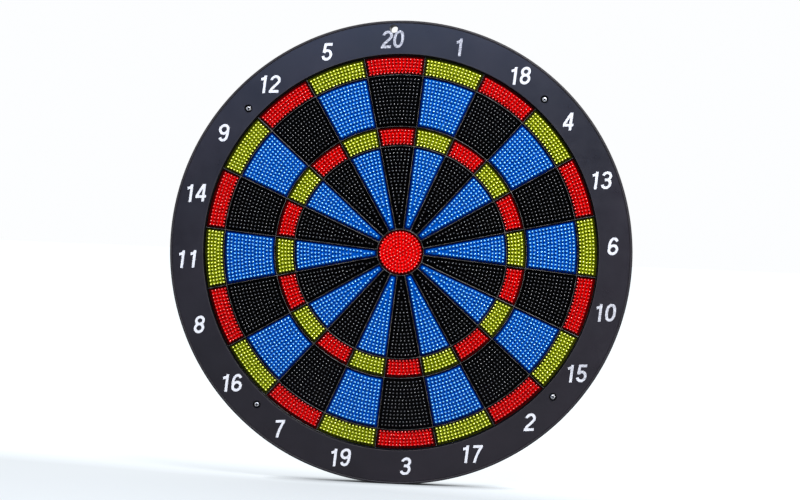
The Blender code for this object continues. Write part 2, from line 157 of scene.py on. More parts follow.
# The numbers' circle on the ring: its radius, and how far it is moved and turned off the
# board's own middle, as in the photo
NUMBER_CIRCLE = 0.1872
NUMBER_SHIFT = (-0.0007, -0.0003)
NUMBER_TURN = -0.0019

# A digit's height, and its other sizes as shares of that
DIGIT_HEIGHT = 0.0153
DIGIT_WIDTH = 0.60
DIGIT_STROKE = 0.150
DIGIT_SLANT = 0.16
DIGIT_SPACING = 0.06

# How far the digits stand above the ring's face and reach into it
DIGIT_THICKNESS = 0.0002
DIGIT_ROOT = 0.0003

# Where a painted dark reflection greys the numbers' foil: the middle of the patch, how far it
# reaches, how much
DARK_REFLECTION_PATCHES = (((0.025, 0.188), 0.045, 0.85), ((0.172, -0.083), 0.042, 0.5))


# ---------------------------------------------------------------- outlines


def polar(radius, angle):
    """The point at a radius and an angle, clockwise from the 20."""
    return (radius * sin(angle), radius * cos(angle))


def circle(radius, sides, centre=(0.0, 0.0)):
    points = [polar(radius, 2 * pi * k / sides) for k in range(sides)]
    return [(centre[0] + x, centre[1] + y) for x, y in points]


def bend(start, corner, end, steps=4):
    """A rounded corner from start to end that leaves towards the corner, without its ends."""
    points = []
    for k in range(1, steps):
        t = k / steps
        points.append(tuple(
            (1 - t) ** 2 * a + 2 * t * (1 - t) * b + t * t * c
            for a, b, c in zip(start, corner, end)
        ))
    return points


def round_corners(points, radius, steps=3):
    """A closed outline with each of its corners rounded, but over less than half of a side."""
    rounded = []
    for k, corner in enumerate(points):
        before, after = points[k - 1], points[(k + 1) % len(points)]
        ends = []
        for other in (before, after):
            length = hypot(other[0] - corner[0], other[1] - corner[1])
            share = min(radius, length * 0.45) / length
            ends.append(tuple(c + (o - c) * share for c, o in zip(corner, other)))
        rounded += [ends[0], *bend(ends[0], corner, ends[1], steps), ends[1]]
    return rounded


def sector_outline(inner_line, outer_line, inset, corner):
    """Outline of a bed, or of its hole in the spider, with rounded corners."""
    low, high = inner_line + inset, outer_line - inset

    def edge(radius):
        return SECTOR / 2 - asin(inset / radius)

    def arc(radius):
        end = edge(radius) - corner / radius
        return [polar(radius, end * (2 * k / ARC_STEPS - 1)) for k in range(ARC_STEPS + 1)]

    half = []
    for radius, inwards in ((high, -corner), (low, corner)):
        ends = [
            polar(radius, edge(radius) - corner / radius),
            polar(radius + inwards, edge(radius + inwards)),
        ]
        half.append([ends[0], *bend(ends[0], polar(radius, edge(radius)), ends[1]), ends[1]])
    right = half[0][1:] + half[1][:0:-1]
    left = [(-x, y) for x, y in right[::-1]]
    return arc(high) + right + arc(low)[::-1] + left


# ---------------------------------------------------------------- solids


def stand_up(mesh, name):
    """A piece of the board from a mesh that lies on its back."""
    piece = bpy.data.objects.new(name, mesh)
    piece.rotation_euler.x = pi / 2
    bpy.context.scene.collection.objects.link(piece)
    return piece


def lay_down(mesh, name):
    """A loose shape in the lying frame, for joining and cutting."""
    shape = bpy.data.objects.new(name, mesh)
    bpy.context.scene.collection.objects.link(shape)
    return shape


def stack_loops(body, loops, ends="capped"):
    """Walls between loops of equally many points. The ends are capped, left open, or joined
    to each other to make a ring."""
    rings = [[body.verts.new(point) for point in loop] for loop in loops]
    count = len(rings[0])
    pairs = list(zip(rings, rings[1:]))
    if ends == "joined":
        pairs.append((rings[-1], rings[0]))
    for low, high in pairs:
        for k in range(count):
            after = (k + 1) % count
            body.faces.new((low[k], low[after], high[after], high[k]))
    if ends == "capped":
        body.faces.new(rings[0][::-1])
        body.faces.new(rings[-1])
    return rings


def mesh_of(body, name, sharp_angle=35):
    """Finish a bmesh: normals out, smooth but for its sharp edges."""
    bmesh.ops.recalc_face_normals(body, faces=body.faces)
    mesh = bpy.data.meshes.new(name)
    body.to_mesh(mesh)
    body.free()
    mesh.shade_smooth()
    if sharp_angle:
        mesh.set_sharp_from_angle(angle=radians(sharp_angle))
    return mesh


def turned(name, profile, steps=TURN_STEPS, centre=(0.0, 0.0), ends="joined"):
    """A turned shape from a profile of (radius, height) points, whose ends may be joined."""
    body = bmesh.new()
    loops = [
        [(x, y, height) for x, y in circle(radius, steps, centre)] for radius, height in profile
    ]
    stack_loops(body, loops, ends)
    return mesh_of(body, name)


def rod(name, radius, low, high, centre, sides=32, edge=0.0, flare=0.0):
    """A rod along the height, with rounded ends, or a flare at its upper end for a cutter."""
    if flare:
        profile = [(radius, low), (radius, high - flare), (radius + 2 * flare, high + flare)]
    elif edge:
        profile = [
            (radius - edge, low), (radius - edge * 0.3, low + edge * 0.3), (radius, low + edge),
            (radius, high - edge), (radius - edge * 0.3, high - edge * 0.3),
            (radius - edge, high),
        ]
    else:
        profile = [(radius, low), (radius, high)]
    return turned(name, profile, sides, centre, "capped")


def bar(name, radii, width, low, high, angle, edge):
    """A straight rib from one radius to another, with rounded long edges."""
    half = width / 2
    section = round_corners([(-half, low), (half, low), (half, high), (-half, high)], edge)
    turn = Matrix.Rotation(-angle, 3, "Z")
    body = bmesh.new()
    stack_loops(body, [[turn @ Vector((x, y, z)) for x, z in section] for y in radii])
    return mesh_of(body, name)


def combined(name, mesh, joined=(), removed=()):
    """A mesh with others joined to it and cut out of it."""
    target = lay_down(mesh, name)
    tools = []
    for meshes, operation in ((joined, "UNION"), (removed, "DIFFERENCE")):
        for other in meshes:
            tool = lay_down(other, f"{name}_tool")
            modifier = target.modifiers.new(operation, "BOOLEAN")
            modifier.operation = operation
            modifier.solver = "EXACT"
            modifier.object = tool
            tools.append(tool)
    bpy.context.view_layer.update()
    depsgraph = bpy.context.evaluated_depsgraph_get()
    result = bpy.data.meshes.new_from_object(target.evaluated_get(depsgraph))
    for thing in (target, *tools):
        bpy.data.objects.remove(thing, do_unlink=True)
    result.name = name
    result.shade_smooth()
    result.set_sharp_from_angle(angle=radians(35))
    return result


def filled(name, outlines, low, high, edge):
    """A flat moulding of outlines, the first the outside and the rest holes, with rounded
    edges. It is filled in millimetres, because the fill drops details under 0.03 units."""
    unit = 1000.0
    curve = bpy.data.curves.new(name, "CURVE")
    curve.dimensions = "2D"
    curve.fill_mode = "BOTH"
    curve.bevel_depth = edge * unit
    curve.bevel_resolution = 2
    curve.offset = -edge * unit
    curve.extrude = ((high - low) / 2 - edge) * unit
    for outline in outlines:
        spline = curve.splines.new("POLY")
        spline.points.add(len(outline) - 1)
        for point, (x, y) in zip(spline.points, outline):
            point.co = (x * unit, y * unit, 0.0, 1.0)
        spline.use_cyclic_u = True
    flat = bpy.data.objects.new(name, curve)
    bpy.context.scene.collection.objects.link(flat)
    bpy.context.view_layer.update()
    depsgraph = bpy.context.evaluated_depsgraph_get()
    mesh = bpy.data.meshes.new_from_object(flat.evaluated_get(depsgraph))
    bpy.data.objects.remove(flat, do_unlink=True)
    body = bmesh.new()
    body.from_mesh(mesh)
    bmesh.ops.remove_doubles(body, verts=body.verts, dist=0.002)
    bmesh.ops.scale(body, vec=(1 / unit, 1 / unit, 1 / unit), verts=body.verts)
    bmesh.ops.translate(body, vec=(0.0, 0.0, (low + high) / 2), verts=body.verts)
    return mesh_of(body, name)


def weigh_normals(piece):
    """Keep flat faces flat in the shading where they meet rounded edges."""
    modifier = piece.modifiers.new("flat_faces", "WEIGHTED_NORMAL")
    modifier.keep_sharp = True


def finish_piece(piece, material, slot, *nodes):
    """Give a piece its finish, hang it on the root body and hide the nodes that it stands in for.
    The slot is not used.
    """
    piece.data.materials.clear()
    piece.data.materials.append(material)
    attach(piece, "root")
    if nodes:
        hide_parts(*nodes)


# ---------------------------------------------------------------- materials


class Nodes:
    """A Principled material and short ways to add nodes to it."""

    def __init__(self, name):
        self.material = bpy.data.materials.new(name)
        self.material.use_nodes = True
        self.tree = self.material.node_tree
        self.shader = self.tree.nodes["Principled BSDF"]
        self.position = self.tree.nodes.new("ShaderNodeTexCoord").outputs["Object"]

    def add(self, kind, **settings):
        node = self.tree.nodes.new(kind)
        for key, value in settings.items():
            setattr(node, key, value)
        return node

    def link(self, source, target):
        self.tree.links.new(source, target)

    def noise(self, scale, detail=3.0, roughness=0.6):
        """Noise over the piece; the scale is its number of patches in a metre."""
        node = self.add("ShaderNodeTexNoise")
        node.inputs["Scale"].default_value = scale
        node.inputs["Detail"].default_value = detail
        node.inputs["Roughness"].default_value = roughness
        self.link(self.position, node.inputs["Vector"])
        return node.outputs["Fac"]

    def spread(self, value, source, target):
        """The value's source range mapped to the target range and clamped."""
        node = self.add("ShaderNodeMapRange")
        for end, low_or_high in enumerate(("Min", "Max")):
            node.inputs[f"From {low_or_high}"].default_value = source[end]
            node.inputs[f"To {low_or_high}"].default_value = target[end]
        self.link(value, node.inputs["Value"])
        return node.outputs["Result"]

    def ramp(self, value, stops):
        """A colour for each value, from (place, colour) stops."""
        node = self.add("ShaderNodeValToRGB")
        points = node.color_ramp.elements
        for k, (place, colour) in enumerate(stops):
            point = points[k] if k < 2 else points.new(place)
            point.position = place
            point.color = (*colour, 1.0)
        self.link(value, node.inputs["Fac"])
        return node.outputs["Color"]

    def mix(self, factor, first, second, blend="MIX"):
        """Two colours mixed; each is a socket or a fixed colour, the factor too."""
        node = self.add("ShaderNodeMix", data_type="RGBA", blend_type=blend)
        for socket, value in ((0, factor), (6, first), (7, second)):
            if isinstance(value, bpy.types.NodeSocket):
                self.link(value, node.inputs[socket])
            elif isinstance(value, tuple):
                node.inputs[socket].default_value = (*value, 1.0)
            else:
                node.inputs[socket].default_value = value
        return node.outputs[2]

    def times(self, first, second):
        """The product of two sockets."""
        node = self.add("ShaderNodeMath", operation="MULTIPLY")
        self.link(first, node.inputs[0])
        self.link(second, node.inputs[1])
        return node.outputs["Value"]

    def height(self):
        """The height above the board's back, from the point's place on the lying board."""
        split = self.add("ShaderNodeSeparateXYZ")
        self.link(self.position, split.inputs["Vector"])
        return split.outputs["Z"]

    def radius(self, centre=(0.0, 0.0)):
        """The distance from a place on the lying board, whatever the height."""
        place = self.add("ShaderNodeVectorMath", operation="MULTIPLY_ADD")
        self.link(self.position, place.inputs[0])
        place.inputs[1].default_value = (1.0, 1.0, 0.0)
        place.inputs[2].default_value = (-centre[0], -centre[1], 0.0)
        length = self.add("ShaderNodeVectorMath", operation="LENGTH")
        self.link(place.outputs["Vector"], length.inputs[0])
        return length.outputs["Value"]

    def bump(self, value, distance, strength):
        """Give the surface the relief of a value."""
        node = self.add("ShaderNodeBump")
        node.inputs["Distance"].default_value = distance
        node.inputs["Strength"].default_value = strength
        self.link(value, node.inputs["Height"])
        self.link(node.outputs["Normal"], self.shader.inputs["Normal"])

    def plain(self, socket, value):
        """Set a fixed value on one of the shader's sockets."""
        self.shader.inputs[socket].default_value = value

    def colour(self, source):
        self.link(source, self.shader.inputs["Base Color"])

    def roughness(self, source):
        self.link(source, self.shader.inputs["Roughness"])

    def gloss(self, source, plain):
        """The gloss from a socket, and a plain value for an export that can't read one."""
        self.plain("Specular IOR Level", plain)
        self.link(source, self.shader.inputs["Specular IOR Level"])


def bed_plastic(name, shoulder, plate, post, tip):
    """Moulded plastic coloured by height with painted light: painted shade down its shoulders,
    a painted glow on the plate and the posts, and a painted highlight on the glossy tips."""
    nodes = Nodes(name)
    low = BED_FLOOR_HEIGHT - SHOULDER_DROP
    height = nodes.spread(nodes.height(), (low, NIB_TIP_HEIGHT), (0.0, 1.0))
    plate_height = SHOULDER_DROP / (NIB_TIP_HEIGHT - low)
    # Painted light by height: painted shade on the shoulder, a painted glow on the plate and
    # posts, a painted highlight at the nib tips
    colour = nodes.ramp(height, (
        (plate_height * 0.3, shoulder), (plate_height * 0.97, plate), (0.55, post),
        (0.80, post), (0.93, tip),
    ))
    patches = nodes.spread(nodes.noise(330.0), (0.32, 0.68), (0.72, 1.25))
    nodes.colour(nodes.mix(1.0, colour, patches, "MULTIPLY"))
    nodes.roughness(nodes.spread(nodes.noise(1500.0, detail=2.0), (0.3, 0.7), (0.11, 0.17)))
    nodes.gloss(nodes.spread(height, (0.40, 0.95), (0.04, 1.0)), plain=0.3)
    nodes.bump(nodes.noise(4200.0, detail=2.0), distance=0.00001, strength=0.1)
    return nodes.material


def ring_plastic():
    """Charcoal moulding with a fine spark-eroded texture and faint smears: satin on its face
    and dull along its outer and inner edges."""
    nodes = Nodes("ring_charcoal_plastic")
    smears = nodes.noise(16.0, detail=5.0, roughness=0.55)
    colour = nodes.ramp(smears, (
        (0.35, (0.0074, 0.0052, 0.0074)), (0.65, (0.0120, 0.0086, 0.0120))
    ))
    grain = nodes.spread(nodes.noise(3200.0, detail=2.0), (0.35, 0.65), (0.86, 1.12))
    nodes.colour(nodes.mix(1.0, colour, grain, "MULTIPLY"))
    satin = nodes.spread(nodes.noise(60.0, detail=6.0, roughness=0.7), (0.3, 0.7), (0.27, 0.34))
    radius = nodes.radius()
    inner_edge = (RING_INNER_RADIUS + 0.0003, RING_INNER_RADIUS + 0.0007)
    outer_edge = (BOARD_RADIUS - 0.0026, BOARD_RADIUS - 0.0020)
    face = nodes.times(
        nodes.spread(radius, outer_edge, (1.0, 0.0)), nodes.spread(radius, inner_edge, (0.0, 1.0))
    )
    nodes.roughness(nodes.mix(face, (0.6, 0.6, 0.6), satin))
    nodes.bump(nodes.noise(2600.0), distance=0.00002, strength=0.3)
    return nodes.material


def spider_plastic():
    """Black plastic with a painted highlight: a thin, patchy grey band along the tops of the
    walls, but not on the higher rim."""
    nodes = Nodes("spider_black_plastic")
    ridge = (WALL_TOP_HEIGHT - 0.0001, WALL_TOP_HEIGHT + 0.0001)
    # Painted highlight: a thin light grey band at the walls' ridge height, broken up by noise and
    # kept off the rim
    top = nodes.ramp(nodes.spread(nodes.height(), ridge, (0.0, 1.0)), (
        (0.40, (0.0, 0.0, 0.0)), (0.48, (1.0, 1.0, 1.0)), (0.52, (1.0, 1.0, 1.0)),
        (0.58, (0.0, 0.0, 0.0)),
    ))
    scuffs_and_sheen = nodes.spread(nodes.noise(150.0, detail=5.0, roughness=0.7), (0.38, 0.62), (0.15, 1.0))
    inside = nodes.spread(nodes.radius(), (RIM_LINE - 0.0008, RIM_LINE - 0.0004), (1.0, 0.0))
    ridge_highlight = nodes.mix(1.0, top, nodes.times(scuffs_and_sheen, inside), "MULTIPLY")
    nodes.colour(nodes.mix(ridge_highlight, (0.002, 0.002, 0.002), (0.26, 0.235, 0.22)))
    nodes.plain("Specular IOR Level", 0.15)
    nodes.roughness(nodes.spread(nodes.noise(900.0), (0.3, 0.7), (0.14, 0.24)))
    nodes.bump(nodes.noise(3000.0, detail=2.0), distance=0.00001, strength=0.2)
    return nodes.material


def cover_plastic():
    """Matt black plastic with a coarse grain and pale rub marks on its ribs."""
    nodes = Nodes("cover_black_plastic")
    top = nodes.spread(nodes.height(), (0.0, 0.0006), (1.0, 0.0))
    scuffs_and_sheen = nodes.spread(nodes.noise(90.0, detail=6.0, roughness=0.75), (0.5, 0.72), (0.0, 0.5))
    rub_and_dark_reflection = nodes.mix(1.0, top, scuffs_and_sheen, "MULTIPLY")
    grain = nodes.spread(nodes.noise(1800.0), (0.3, 0.7), (0.8, 1.2))
    base = nodes.mix(1.0, (0.034, 0.034, 0.037), grain, "MULTIPLY")
    nodes.colour(nodes.mix(rub_and_dark_reflection, base, (0.16, 0.16, 0.164)))
    nodes.roughness(nodes.spread(nodes.noise(45.0, detail=5.0), (0.3, 0.7), (0.46, 0.62)))
    nodes.bump(nodes.noise(1500.0), distance=0.00005, strength=0.7)
    return nodes.material


def number_foil():
    """Glossy white hot-stamped foil with fine pinholes, greyed on some of the numbers by a painted
    dark reflection.
    """
    nodes = Nodes("numerals_white_foil")
    wear = nodes.noise(900.0, detail=5.0, roughness=0.7)
    plain_foil = nodes.ramp(wear, (
        (0.32, (0.40, 0.40, 0.44)), (0.42, (0.64, 0.64, 0.67)), (0.65, (0.76, 0.76, 0.78))
    ))
    # Painted dark reflection: a greyer foil colour, laid on the numbers within the listed patches
    dull = nodes.ramp(wear, (
        (0.38, (0.10, 0.10, 0.12)), (0.50, (0.30, 0.30, 0.34)), (0.62, (0.60, 0.60, 0.64))
    ))
    colour = plain_foil
    for spot, reach, strength in DARK_REFLECTION_PATCHES:
        rub_and_dark_reflection = nodes.spread(nodes.radius(spot), (reach * 0.8, reach), (strength, 0.0))
        colour = nodes.mix(rub_and_dark_reflection, colour, dull)
    nodes.colour(colour)
    nodes.roughness(nodes.spread(nodes.noise(300.0), (0.3, 0.7), (0.16, 0.32)))
    nodes.bump(nodes.noise(1200.0), distance=0.00002, strength=0.4)
    return nodes.material


def screw_steel(side, crown):
    """Zinc-plated steel with a satin crown, and painted shade darkening the recess and the head
    round its edge.
    """
    nodes = Nodes(f"{side}_screw_steel")
    zinc = nodes.ramp(nodes.noise(1400.0, detail=4.0, roughness=0.65), (
        (0.30, (0.45, 0.44, 0.43)), (0.46, (0.84, 0.84, 0.85)), (0.75, (0.93, 0.93, 0.94))
    ))
    # Painted shade: dark wherever the steel lies more than a little below the crown's top
    depth = nodes.add("ShaderNodeMath", operation="SUBTRACT")
    nodes.link(nodes.height(), depth.inputs[0])
    depth.inputs[1].default_value = crown
    away = nodes.add("ShaderNodeMath", operation="ABSOLUTE")
    nodes.link(depth.outputs["Value"], away.inputs[0])
    painted_recess_shade = nodes.spread(away.outputs["Value"], (0.00005, 0.0003), (0.0, 1.0))
    nodes.colour(nodes.mix(painted_recess_shade, zinc, (0.02, 0.02, 0.021)))
    nodes.plain("Metallic", 1.0)
    nodes.roughness(nodes.spread(nodes.noise(2500.0), (0.3, 0.7), (0.46, 0.60)))
    nodes.bump(nodes.noise(6000.0, detail=2.0), distance=0.00001, strength=0.3)
    return nodes.material


def foam():
    """Closed-cell foam with a fine cell structure."""
    nodes = Nodes("sheet_grey_foam")
    cells = nodes.add("ShaderNodeTexVoronoi")
    cells.inputs["Scale"].default_value = 1100.0
    nodes.link(nodes.position, cells.inputs["Vector"])
    nodes.colour(nodes.ramp(cells.outputs["Distance"], (
        (0.1, (0.035, 0.035, 0.036)), (0.7, (0.075, 0.075, 0.078))
    )))
    nodes.plain("Roughness", 0.92)
    nodes.bump(cells.outputs["Distance"], distance=0.0002, strength=0.8)
    return nodes.material


# ---------------------------------------------------------------- beds


def add_nib(body, x, y):
    """One nib, rooted in its bed's plate."""
    reach = NIB_TIP_HEIGHT - BED_FLOOR_HEIGHT
    loops = []
    for radius, share in NIB_STEPS:
        height = BED_FLOOR_HEIGHT + reach * share
        loops.append([(px, py, height) for px, py in circle(radius, NIB_SIDES, (x, y))])
    rings = stack_loops(body, loops, "open")
    body.faces.new(rings[0][::-1])
    tip = body.verts.new((x, y, NIB_TIP_HEIGHT))
    for k in range(NIB_SIDES):
        body.faces.new((rings[-1][k], rings[-1][(k + 1) % NIB_SIDES], tip))


def nib_row(radius, margin):
    """The nibs on one arc of a sector: its end nibs keep the margin to the sector's edges."""
    room = 2 * (radius * sin(SECTOR / 2) - margin)
    count = 1 + floor(room / NIB_PITCH)
    if count == 1:
        return [polar(radius, 0.0)]
    end = asin(room / 2 / radius)
    return [polar(radius, end * (2 * k / (count - 1) - 1)) for k in range(count)]


def nib_rows(first, last, rows, margin):
    """The nibs of a sector bed, on evenly spaced arcs."""
    points = []
    for k in range(rows):
        points += nib_row(first + (last - first) * k / (rows - 1), margin)
    return points


def bull_nibs():
    """The nibs of the round bed: one in the middle and rings around it."""
    points = [(0.0, 0.0)]
    for k in range(1, BULL_NIB_RINGS + 1):
        radius = BULL_NIB_RADIUS * k / BULL_NIB_RINGS
        points += circle(radius, round(2 * pi * radius / NIB_PITCH))
    return points


def add_plate(body, outline_at, shoulder_width):
    """A bed's plate with its shoulder, from its outline at a given inset."""
    shoulder = BED_FLOOR_HEIGHT - SHOULDER_DROP
    top, soft = shoulder_width + SHOULDER_SLOPE, 0.0001
    steps = (
        (0.0, BED_BACK_HEIGHT), (0.0, shoulder - soft), (soft, shoulder),
        (shoulder_width, shoulder), (top - soft, BED_FLOOR_HEIGHT - soft),
        (top, BED_FLOOR_HEIGHT),
    )
    stack_loops(body, [[(x, y, z) for x, y in outline_at(inset)] for inset, z in steps])
    body.normal_update()
    for line in body.edges:
        line.smooth = line.calc_face_angle(0.0) < SMOOTH_BELOW


def bed_mesh(name, outline_at, shoulder_width, nibs):
    """A bed's plate and nibs, shaded sharp only where add_plate says so."""
    body = bmesh.new()
    add_plate(body, outline_at, shoulder_width)
    for x, y in nibs:
        add_nib(body, x, y)
    return mesh_of(body, name, sharp_angle=None)


# Plates are shaded smooth over edges flatter than this
SMOOTH_BELOW = radians(12)

# Each kind's inner and outer line, corner radius and shoulder width, then its nibs' first and
# last arc, the number of arcs, and how far the end nibs stay from the sector's edges
SECTOR_BEDS = {
    "double": (DOUBLE_LINE, RIM_LINE, 0.0007, 0.0018, 0.1577, 0.1693, 5, 0.0029),
    "outer_single": (TREBLE_OUTER_LINE, DOUBLE_LINE, 0.0009, 0.0012, 0.1143, 0.1521, 13, 0.0035),
    "treble": (TREBLE_INNER_LINE, TREBLE_OUTER_LINE, 0.0007, 0.0018, 0.0954, 0.1070, 5, 0.0029),
    "inner_single": (BULL_LINE, TREBLE_INNER_LINE, 0.0012, 0.0011, 0.0252, 0.0903, 22, 0.0035),
}

# The bull's shoulder width, its nibs' rings and their outermost radius, and its outline's sides
BULL_SHOULDER = 0.0018
BULL_NIB_RINGS = 6
BULL_NIB_RADIUS = 0.0177
BULL_SIDES = 72


def make_beds():
    """The 81 separate beds. Those of one kind share a shape, turned to each number's place."""
    dark_and_light = {
        "single": (("bed_black", bed_black), ("bed_blue", bed_blue)),
        "scoring": (("bed_red", bed_red), ("bed_lime", bed_lime)),
    }
    for kind, (inner, outer, corner, shoulder, first, last, rows, margin) in SECTOR_BEDS.items():
        def outline_at(inset):
            return sector_outline(inner, outer, BED_INSET + inset, corner)

        nibs = nib_rows(first, last, rows, margin)
        shape = bed_mesh(f"{kind}_shape", outline_at, shoulder, nibs)
        single = kind.endswith("single")
        node = "single_beds" if single else "double_treble_beds"
        finishes = dark_and_light["single" if single else "scoring"]
        for k, number in enumerate(NUMBERS):
            mesh = shape.copy()
            mesh.transform(Matrix.Rotation(-SECTOR * k, 4, "Z"))
            slot, material = finishes[k % 2]
            bed = stand_up(mesh, f"{kind}_bed_{number}")
            finish_piece(bed, material, slot, f"{node}_{number}")
        bpy.data.meshes.remove(shape)
    bull = stand_up(bed_mesh(
        "bull_shape", lambda inset: circle(BULL_LINE - BED_INSET - inset, BULL_SIDES),
        BULL_SHOULDER, bull_nibs(),
    ), "bull_round_bed")
    finish_piece(bull, bull_red, "bed_red", "bull_bed")


# ---------------------------------------------------------------- spider


def wall_profile(steps=5):
    """Inset from a wall's middle, and height, of the loops round a bed's hole: from the ridge
    down over the rounded top and the side, and back to the middle underneath."""
    profile = []
    for k in range(steps + 1):
        angle = pi / 2 * k / steps
        drop = HALF_WALL * (1 - cos(angle))
        profile.append((HALF_WALL * sin(angle), WALL_TOP_HEIGHT - drop))
    return [*profile, (HALF_WALL, WALL_BOTTOM_HEIGHT), (0.0, WALL_BOTTOM_HEIGHT)]


def rim_profile():
    """The rim from the ridge of the outermost walls outwards, down round the clamped flange
    and back under the walls."""
    outside = RIM_LINE + HALF_WALL
    flange_top = BED_BACK_HEIGHT - GAP
    flange_low = BED_BACK_HEIGHT - 0.0023
    return [
        (RIM_LINE, WALL_TOP_HEIGHT),
        (RIM_LINE + 0.0001, RIM_TOP_HEIGHT - 0.00005),
        (RIM_LINE + 0.0002, RIM_TOP_HEIGHT),
        (RIM_LINE + 0.0004, RIM_TOP_HEIGHT - 0.0001),
        (outside, RIM_TOP_HEIGHT - 0.0003),
        (outside, flange_top),
        (FLANGE_RADIUS - EDGE, flange_top),
        (FLANGE_RADIUS, flange_top - EDGE),
        (FLANGE_RADIUS, flange_low),
        (outside, flange_low),
        (outside, SHEET_LOW),
        (RIM_LINE, SHEET_LOW),
        (RIM_LINE, WALL_BOTTOM_HEIGHT),
    ]


def make_spider():
    """The walls between the beds in one web with rounded tops, its rim and its four bosses."""
    body = bmesh.new()
    profile = wall_profile()
    for inner, outer, corner, *_ in SECTOR_BEDS.values():
        hole = [
            [
                Vector((x, y, height))
                for x, y in sector_outline(inner, outer, inset, corner * inset / HALF_WALL)
            ]
            for inset, height in profile
        ]
        for k in range(len(NUMBERS)):
            turn = Matrix.Rotation(-SECTOR * k, 3, "Z")
            stack_loops(body, [[turn @ point for point in loop] for loop in hole], "open")
    for round_profile in ([(BULL_LINE - inset, z) for inset, z in profile], rim_profile()):
        loops = [[(x, y, z) for x, y in circle(r, TURN_STEPS)] for r, z in round_profile]
        stack_loops(body, loops, "open")
    bmesh.ops.remove_doubles(body, verts=body.verts, dist=0.000001)
    web = mesh_of(body, "spider_walls")
    low, high = SHEET_LOW, BED_BACK_HEIGHT - GAP
    bosses = [rod("boss", SPIDER_BOSS_RADIUS, low, high, c, edge=EDGE) for c in REAR_SCREWS]
    pilots = [
        rod("pilot", PILOT_RADIUS, low - OVERCUT, high - OVERCUT, c) for c in REAR_SCREWS
    ]
    spider = stand_up(combined("spider_shape", web, bosses, pilots), "spider_web")
    finish_piece(spider, spider_black, "spider_black", "spider")


# ---------------------------------------------------------------- number ring


def make_ring():
    """The wide charcoal ring: a rolled outer edge, a softened inner edge, four counterbored
    screw holes and a tube for the hanging hole."""
    inside = BOARD_RADIUS - PANEL
    back = FACE_HEIGHT - PANEL
    lip = RING_INNER_RADIUS + 0.002
    bead = BOARD_RADIUS - 0.0022
    profile = [
        (inside, SKIRT_HEIGHT),
        (BOARD_RADIUS - EDGE, SKIRT_HEIGHT),
        (BOARD_RADIUS, SKIRT_HEIGHT + EDGE),
        *rolled_edge(),
        (bead, FACE_HEIGHT - 0.0003),
        (bead - 0.0003, FACE_HEIGHT),
        (RING_INNER_RADIUS + 0.0005, FACE_HEIGHT),
        (RING_INNER_RADIUS + 0.00015, FACE_HEIGHT - 0.00015),
        (RING_INNER_RADIUS, FACE_HEIGHT - 0.0005),
        (RING_INNER_RADIUS, BED_BACK_HEIGHT),
        (lip, BED_BACK_HEIGHT),
        (lip, back),
        (inside, back),
    ]
    seat = front_of("front_screw_1") - SCREW_HEAD_HEIGHT - GAP
    boss_end = 0.0098
    joined = [rod("boss", BOSS_RADIUS, boss_end, back + OVERCUT, c) for c in FRONT_SCREWS]
    joined.append(rod(
        "hanging_tube", HANGING_TUBE_RADIUS, SHEET_LOW, back + OVERCUT, HANGING_HOLE, HOLE_STEPS
    ))
    removed = [
        rod("head_hole", HEAD_HOLE_RADIUS, seat, FACE_HEIGHT, c, HEAD_STEPS, flare=0.0002)
        for c in FRONT_SCREWS
    ]
    removed += [
        rod("clearance", CLEARANCE_RADIUS, boss_end - OVERCUT, seat + OVERCUT, c)
        for c in FRONT_SCREWS
    ]
    removed.append(rod(
        "hanging_hole", HANGING_HOLE_RADIUS, SHEET_LOW - OVERCUT, FACE_HEIGHT, HANGING_HOLE,
        HOLE_STEPS, flare=0.00025,
    ))
    mesh = combined("ring_shape", turned("ring_profile", profile), joined, removed)
    ring = stand_up(mesh, "front_ring")
    weigh_normals(ring)
    finish_piece(ring, ring_charcoal, "ring_charcoal", "number_ring")


def rolled_edge(steps=10):
    """The ring's outer edge: from its side round to the low bead on the face."""
    width, height = 0.0013, 0.0016
    outside = []
    for k in range(steps + 1):
        angle = pi / 2 * k / steps
        outside.append((
            BOARD_RADIUS - width + width * cos(angle),
            BOARD_DEPTH - height + height * sin(angle),
        ))
    return [*outside, (BOARD_RADIUS - 0.0018, BOARD_DEPTH - 0.0001)]


# ---------------------------------------------------------------- numbers


def ellipse(centre, radii, start, end, steps=28, power=1.0):
    """Part of an ellipse, counter-clockwise from the right, in degrees. A power under 1 makes
    it squarer."""
    points = []
    for k in range(steps + 1):
        angle = radians(start + (end - start) * k / steps)
        across, up = cos(angle), sin(angle)
        points.append((
            centre[0] + radii[0] * abs(across) ** power * (1 if across >= 0 else -1),
            centre[1] + radii[1] * abs(up) ** power * (1 if up >= 0 else -1),
        ))
    return points


